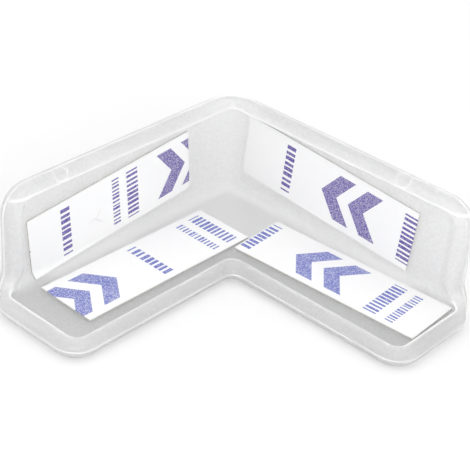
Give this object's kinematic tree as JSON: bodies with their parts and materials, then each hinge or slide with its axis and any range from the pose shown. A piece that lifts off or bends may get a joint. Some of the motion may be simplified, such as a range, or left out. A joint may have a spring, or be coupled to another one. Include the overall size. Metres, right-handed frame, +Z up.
{
  "type": "furniture corner protector",
  "caption": "Soft clear corner protector: a rimmed L-section guard turned round a furniture corner, with adhesive strips under release liners.",
  "frame": {"origin": "centre of the bounding box, at the underside of the flange that the part lies on", "axes": "+Z up, away from the flange; one arm runs along +X from the outer corner and the other along +Y"},
  "size_m": [0.0588, 0.0588, 0.0214],
  "materials": {
    "clear_soft_plastic": "translucent, softly frosted, flexible",
    "adhesive": "satin",
    "release_liner": "smooth coated paper with a violet print"
  },
  "bodies": {
    "root": {"protector_body": "clear_soft_plastic", "adhesive_wall_x": "adhesive", "adhesive_wall_y": "adhesive", "adhesive_flange_x": "adhesive", "adhesive_flange_y": "adhesive", "liner_wall_x": "release_liner", "liner_wall_y": "release_liner", "liner_flange_x": "release_liner", "liner_flange_y": "release_liner"}
  },
  "joints": []
}
